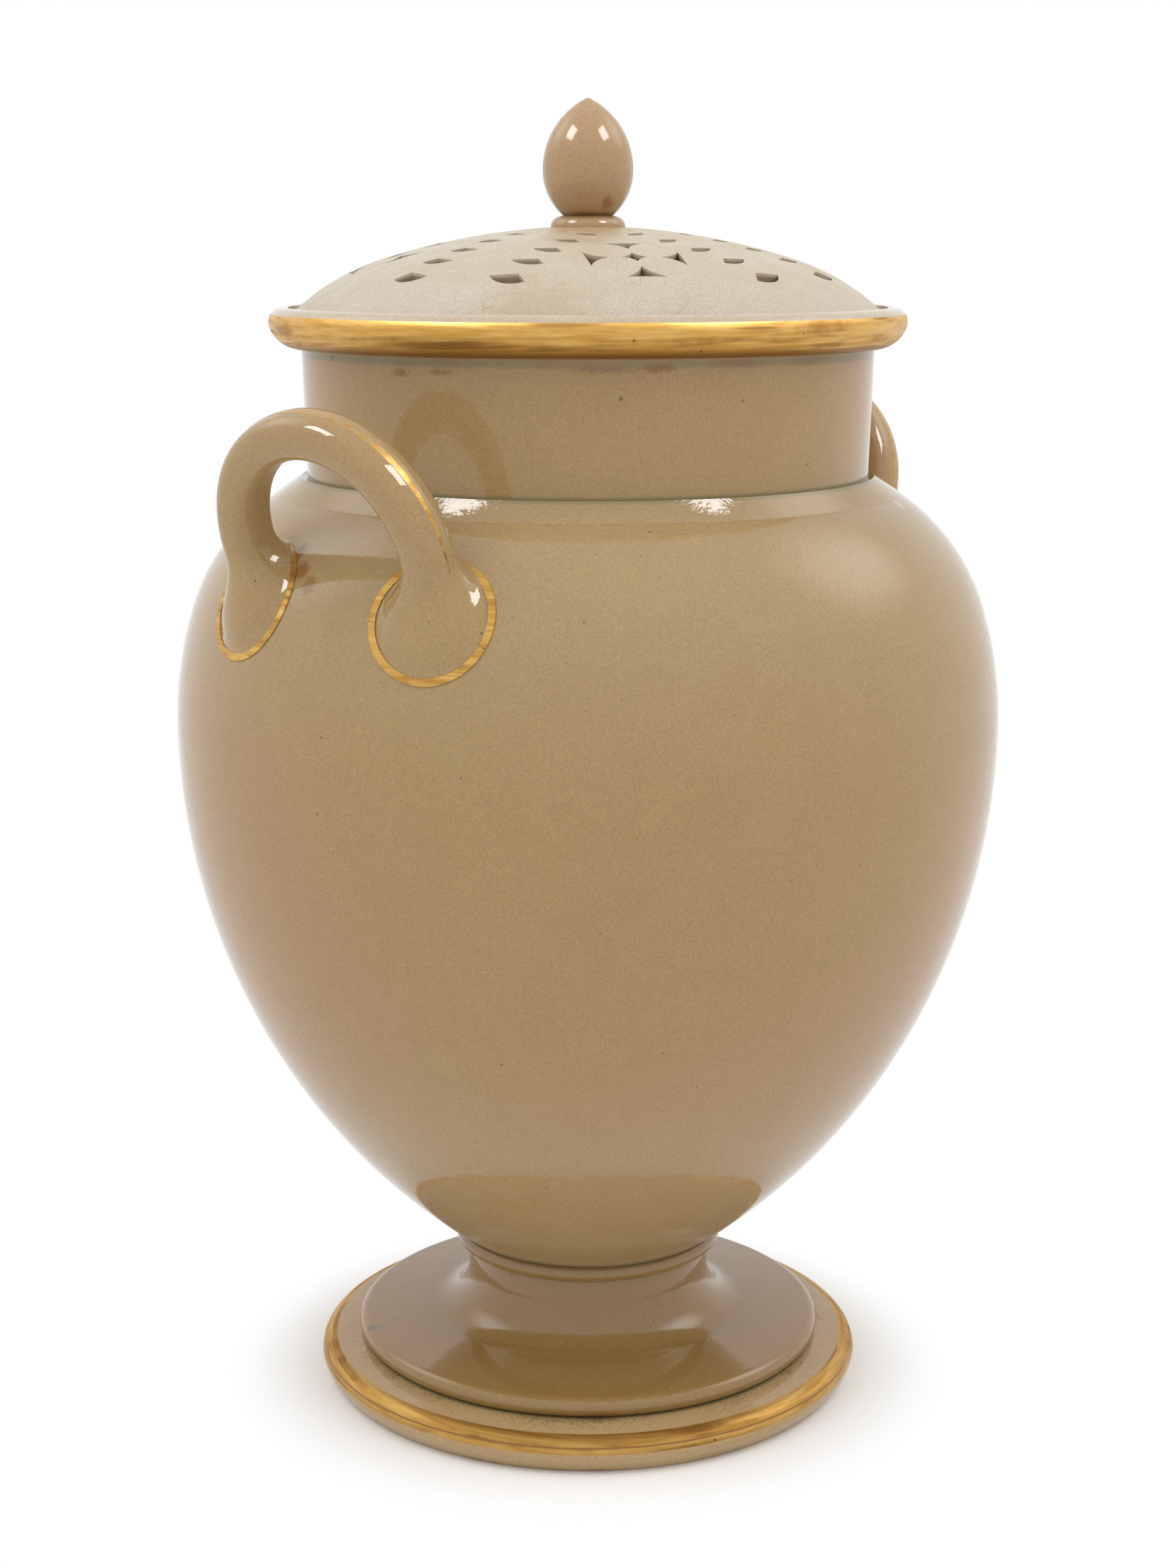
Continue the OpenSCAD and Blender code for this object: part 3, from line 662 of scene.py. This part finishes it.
def add_piece(name, points, faces, material, slot, sharp=50.0):
    """Smooth mesh on the vase, from points in millimetres, with edges over sharp degrees kept sharp."""
    mesh = bpy.data.meshes.new(name)
    mesh.from_pydata((points * MM).tolist(), [], [tuple(map(int, q)) for q in faces])
    mesh.validate()
    bm = bmesh.new()
    bm.from_mesh(mesh)
    bmesh.ops.recalc_face_normals(bm, faces=bm.faces)
    bm.to_mesh(mesh)
    bm.free()
    mesh.polygons.foreach_set("use_smooth", [True] * len(mesh.polygons))
    mesh.set_sharp_from_angle(angle=math.radians(sharp))
    o = bpy.data.objects.new(name, mesh)
    SCENE.collection.objects.link(o)
    mesh.materials.append(material)
    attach(o, "vase")
    return o


# Materials, and which CAD node has which

# Rust on the shoulder beside the back foot of the left handle
HANDLE_STAINS = [
    (around(-49.3, 0.0983, NECK_Z - 0.0135), 0.0045, RUST, 0.85),
    (around(-46.1, 0.1007, NECK_Z - 0.0170), 0.0042, RUST, 0.75),
    (around(-43.0, 0.1032, NECK_Z - 0.0205), 0.0035, RUST, 0.50),
]
# Paler glaze towards the shoulder and towards the foot
BODY_TINTS = [
    (0.185, 0.250, (0.420, 0.308, 0.160), 0.65),
    (0.135, 0.070, (0.405, 0.292, 0.152), 0.65),
]
POOL_TOP = NECK_Z + POOL_RISE * MM


def body_look(name, joint_z, **more):
    """The body's glaze, with the dark line of the neck's joint at a height."""
    return glaze(
        name, tints=BODY_TINTS,
        lines=[(joint_z, 0.0007, GREEN, 0.7, False), (BODY_Z, 0.0012, GREEN, 0.7, False),
               (BODY_Z, 0.0014, RUST, 0.6, True)],
        stains=HANDLE_STAINS + [
            (around(72.2, 0.0880, NECK_Z - 0.0049), 0.0030, PALE, 0.6),
            (around(73.3, 0.0900, NECK_Z - 0.0066), 0.0022, RUST, 0.4),
        ],
        **more)


body_glaze = body_look("body_glaze", NECK_Z)
pool_glaze = body_look("pool_glaze", POOL_TOP, peel=0.22, ledge=(NECK_FOOT_R * MM, POOL_W * MM, POOL_BUMP))
neck_glaze = glaze(
    "neck_glaze", tone=(0.405, 0.270, 0.120), second=(0.412, 0.258, 0.128),
    tints=[(LIP_Z - 0.0050, LIP_Z - 0.0015, PALE, 0.85)],
    lines=[(POOL_TOP, 0.0008, GREEN, 0.7, False), (RIM_Z - 0.0012, 0.0009, GREEN, 0.75, False),
           (RIM_Z - 0.0013, 0.0012, CLAY_AND_SHADE, 0.85, True)],
    smears=[
        (-37.0, RIM_Z - 0.0038, 2.4, 0.0014, RUST, 0.65),
        (-28.0, RIM_Z - 0.0034, 3.6, 0.0010, RUST, 0.55),
        (3.0, RIM_Z - 0.0022, 8.0, 0.0014, CLAY_AND_SHADE, 0.8),
        (13.0, RIM_Z - 0.0020, 4.0, 0.0016, RUST, 0.6),
        (6.0, RIM_Z - 0.0095, 0.5, 0.0008, DIRT, 0.7),
    ],
    stains=[(around(-58.0, 0.0780, RIM_Z - 0.0010), 0.0012, DIRT, 0.8)])
# The foot's tones, darker than the body's: painted shade for the body's shadow over the foot
foot_glaze_shaded = glaze(
    "foot_glaze_shaded", tone=(0.310, 0.190, 0.062), second=(0.315, 0.182, 0.066),
    rough=0.06, specks=0.45, ior=1.6,
    lines=[(BEAD_Z, 0.0009, GREEN, 0.7, False), (BODY_Z, 0.0010, GREEN, 0.5, False),
           (FOOT_Z, 0.0010, GREEN, 0.6, False), (FOOT_Z + 0.0008, 0.0014, RUST, 0.8, True),
           (BEAD_Z, 0.0010, RUST, 0.5, True)],
    stains=[(around(-73.0, 0.0655, FOOT_Z + 0.0062), 0.0026, SOOT, 0.95)])
# The plinth's tones, paler than the body's: painted light making up for the shade under the disc
plinth_glaze_lightened = glaze(
    "plinth_glaze_lightened", tone=(0.500, 0.350, 0.175), second=(0.485, 0.322, 0.162), specks=0.5, dusty=0.7,
    rings=[(DISC_R - 0.0012, 0.0010, GREEN, 0.6, False), (DISC_R - 0.0008, 0.0020, SOIL, 0.8, True)],
    lines=[(BAND_GAP_Z, 0.0004, RUST, 0.9, False), (PLINTH_EDGE_Z, 0.0010, RUST, 0.4, True)])
# The cover's pale tones are partly painted light, and its openings get painted shade inside
cover_glaze = glaze(
    "cover_glaze", tone=DOME_LIT, second=DOME_WARM_LIT,
    rough=0.42, craze=0.30, peel=0.14, specks=0.16, pierced=True,
    stains=[
        (around(0.0, 0.0140, DOME_Z), 0.0170, OLIVE, 0.75),
        (around(-8.0, 0.0300, DOME_Z - 0.0030), 0.0130, OLIVE, 0.45),
        (around(-10.0, 0.0790, DOME_Z - 0.0200), 0.0200, OLIVE, 0.35),
    ])
knob_glaze = glaze(
    "knob_glaze", tone=(0.465, 0.318, 0.152), second=(0.465, 0.302, 0.160), rough=0.10, peel=0.03,
    lines=[(COLLAR_Z, 0.0008, GREEN, 0.6, False), (COLLAR_Z + 0.0003, 0.0008, RUST, 0.7, True)],
    stains=[(around(32.0, 0.0092, COLLAR_Z + 0.0034), 0.0030, GOLD_BROWN, 0.7)])
handle_glaze = glaze(
    "handle_glaze", tone=(0.405, 0.275, 0.122), second=(0.412, 0.262, 0.132), rough=0.05, peel=0.05,
    stains=HANDLE_STAINS)
rim_gilt = gilding(
    "rim_gilding", wear=0.14, brown=0.75,
    smears=[
        (-66.0, RIM_Z + 0.0055, 7.0, 0.0022, 0.6),
        (-24.0, RIM_Z + 0.0034, 15.0, 0.0016, 0.8),
        (-4.0, RIM_Z + 0.0090, 8.0, 0.0008, 0.6),
        (29.0, RIM_Z + 0.0078, 6.0, 0.0006, 0.7),
        (61.0, RIM_Z + 0.0092, 4.0, 0.0009, 0.7),
    ],
    edges=[(RIM_Z + 0.0004, 0.0016, 0.75)],
    dots=[(around(38.0, 0.0870, RIM_Z + 0.0062), 0.0008), (around(41.5, 0.0872, RIM_Z + 0.0068), 0.0006)])
plinth_gilt = gilding(
    "plinth_gilding", wear=0.18, brown=0.85, rough=0.45, tones=(OLD_GOLD, OLD_GOLD_PALE))
ring_gilt = gilding(
    "ring_gilding", wear=0.10, brown=0.7, rough=0.36, thin_top=(NECK_Z - 0.017, NECK_Z - 0.007))
stripe_gilt = gilding(
    "stripe_gilding", wear=0.20, brown=0.7, rough=0.34, tones=(OLD_GOLD, OLD_GOLD_PALE),
    thin_top=(NECK_Z + 0.006, NECK_Z + 0.022))

LOOKS = {
    "body": body_glaze, "neck": neck_glaze, "foot": foot_glaze_shaded, "plinth": plinth_glaze_lightened,
    "cover": cover_glaze, "knob": knob_glaze, "handle": handle_glaze,
    "rim_gilding": rim_gilt, "plinth_gilding": plinth_gilt, "plinth_gilt_line": plinth_gilt,
    "stripe": stripe_gilt, "ring": ring_gilt,
}
for node, o in NODES.items():
    look = LOOKS[node] if node in LOOKS else LOOKS[node.split("_")[0]]
    o.data.materials.clear()
    o.data.materials.append(look)


# Pieces made here: the right handle and its line, the same turned half round, and the pool

skin = surface_net(handle_skin, GRID_LOW, GRID_HIGH, GRID_STEP)
crest = gilt_line()
handles = []
for side, way in (("right", 1.0), ("left", -1.0)):
    half_turn = np.array((way, way, 1.0))
    grip = add_piece("smooth_handle_" + side, skin[0] * half_turn, skin[1], handle_glaze, "glaze")
    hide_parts("handle_" + side)
    line = add_piece("gilt_line_" + side, crest[0] * half_turn, crest[1], stripe_gilt, "gilding")
    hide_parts("stripe_" + side)
    handles += [grip, line]
pool = add_piece("glaze_pool", *glaze_pool(), pool_glaze, "glaze")


# Floor and world: white to the eye and in reflections, with the shadow kept close to the base

FLOOR_SIZE = 40
FLOOR_GREY = (0.92, 0.92, 0.92, 1.0)
SHADOW_FROM, SHADOW_TO = 0.074, 0.108
SKY, SKY_LIGHT = (1.0, 0.985, 0.96, 1.0), 0.62
WHITE = (1.0, 1.0, 1.0, 1.0)


def seen(tree):
    """1 for the rays that show a white background: the camera's, and those off gloss and through glass."""
    path = tree.nodes.new("ShaderNodeLightPath")
    value = path.outputs["Is Camera Ray"]
    for kind in ("Is Glossy Ray", "Is Transmission Ray"):
        either = tree.nodes.new("ShaderNodeMath")
        either.operation = "MAXIMUM"
        tree.links.new(value, either.inputs[0])
        tree.links.new(path.outputs[kind], either.inputs[1])
        value = either.outputs[0]
    return value


def floor_material():
    """Pale floor under the vase that turns to plain white where its shadow ends."""
    s = Shader("floor")
    s.tree.nodes.remove(s.bsdf)
    lit = s.tree.nodes.new("ShaderNodeBsdfDiffuse")
    lit.inputs["Color"].default_value = FLOOR_GREY
    white = s.tree.nodes.new("ShaderNodeEmission")
    both = s.tree.nodes.new("ShaderNodeMixShader")
    s.put(both.inputs[0], s.times(seen(s.tree), s.ramp(s.radius(), SHADOW_FROM, SHADOW_TO)))
    s.tree.links.new(lit.outputs[0], both.inputs[1])
    s.tree.links.new(white.outputs[0], both.inputs[2])
    s.tree.links.new(both.outputs[0], s.out.inputs[0])
    return s.mat


def studio_world():
    """Soft light from all round, seen as white."""
    world = bpy.data.worlds.new("studio")
    world.use_nodes = True
    tree = world.node_tree
    tree.nodes.clear()
    out = tree.nodes.new("ShaderNodeOutputWorld")
    both = tree.nodes.new("ShaderNodeMixShader")
    for i, (colour, strength) in enumerate(((SKY, SKY_LIGHT), (WHITE, 1.0))):
        sky = tree.nodes.new("ShaderNodeBackground")
        sky.inputs[0].default_value = colour
        sky.inputs[1].default_value = strength
        tree.links.new(sky.outputs[0], both.inputs[1 + i])
    tree.links.new(seen(tree), both.inputs[0])
    tree.links.new(both.outputs[0], out.inputs[0])
    return world


bpy.ops.mesh.primitive_plane_add(size=FLOOR_SIZE)
floor = bpy.context.object
floor.name = "floor"
floor.data.materials.append(floor_material())
SCENE.world = studio_world()


# Lamps

def fade_edges(lamp):
    """Let a lamp's face fall off from its middle to its edges, so that its reflection has no outline."""
    lamp.use_nodes = True
    tree = lamp.node_tree
    glow = next(n for n in tree.nodes if n.type == "EMISSION")
    face = tree.nodes.new("ShaderNodeNewGeometry").outputs["Parametric"]
    off = tree.nodes.new("ShaderNodeVectorMath")
    off.operation = "DISTANCE"
    off.inputs[1].default_value = (0.5, 0.5, 0.0)
    fall = tree.nodes.new("ShaderNodeMapRange")
    fall.interpolation_type = "SMOOTHSTEP"
    for i, x in enumerate((0.05, 0.5, 1.0, 0.0)):
        fall.inputs[1 + i].default_value = x
    tree.links.new(face, off.inputs[0])
    tree.links.new(off.outputs["Value"], fall.inputs[0])
    tree.links.new(fall.outputs[0], glow.inputs["Strength"])


def softbox(name, turn, rise, size, power, distance=2.0, aim=0.22, only=None, mirrored=True, soft=False):
    """Rectangular lamp, turned from the photo's side and aimed at the axis. One with pieces named in only
    gives just them a highlight. It can also be left out of reflections, or have a soft face."""
    target = Vector((0, 0, aim))
    e = math.radians(rise)
    place = Vector(around(turn, distance * math.cos(e), aim + distance * math.sin(e)))
    lamp = bpy.data.lights.new(name, "AREA")
    lamp.shape = "RECTANGLE"
    lamp.size, lamp.size_y = size
    lamp.energy = power
    if soft:
        fade_edges(lamp)
    o = bpy.data.objects.new(name, lamp)
    o.location = place
    o.rotation_euler = (target - place).to_track_quat("-Z", "Y").to_euler()
    o.visible_glossy = mirrored
    SCENE.collection.objects.link(o)
    if only:
        o.visible_diffuse = False
        lit = bpy.data.collections.new(name + "_lit")
        for piece in only:
            lit.objects.link(piece)
        o.light_linking.receiver_collection = lit


# The pieces that show small sharp highlights in the photo
SPARKLING = [NODES["knob"], NODES["rim_gilding"], pool] + handles
softbox("key_left", -62, 48, (1.4, 1.4), 12.0, mirrored=False)
softbox("key_right", 62, 48, (1.4, 1.4), 11.0, mirrored=False)
softbox("fill_front", 0, 14, (1.6, 0.8), 1.6, mirrored=False)
softbox("top", 0, 84, (1.4, 1.4), 5.0, mirrored=False)
softbox("glow_left", -112, 40, (2.0, 2.0), 20.0, distance=2.2, soft=True)
softbox("glow_right", 106, 40, (2.2, 1.8), 26.0, distance=2.2, soft=True)
softbox("spark_left", -67, 50, (0.50, 0.46), 12.0, distance=1.5, aim=0.30, only=SPARKLING)
softbox("spark_right", 63, 50, (0.50, 0.46), 12.0, distance=1.5, aim=0.30, only=SPARKLING)


# Camera, from the fit to the photo: metres from the axis and up, degrees down, millimetres of the lens

CAM_OUT, CAM_UP, CAM_DOWN = 0.722, 0.32825, 12.0
CAM_LENS, CAM_SENSOR = 59.24, 36.0
lens = bpy.data.cameras.new("camera")
lens.sensor_fit = "VERTICAL"
lens.sensor_height = CAM_SENSOR
lens.lens = CAM_LENS
lens.clip_start = 0.01
camera = bpy.data.objects.new("camera", lens)
camera.location = around(0.0, CAM_OUT, CAM_UP)
camera.rotation_euler = (math.radians(90.0 - CAM_DOWN), 0.0, math.radians(CAM_AZ))
SCENE.collection.objects.link(camera)
SCENE.camera = camera
SCENE.view_settings.view_transform = "Standard"
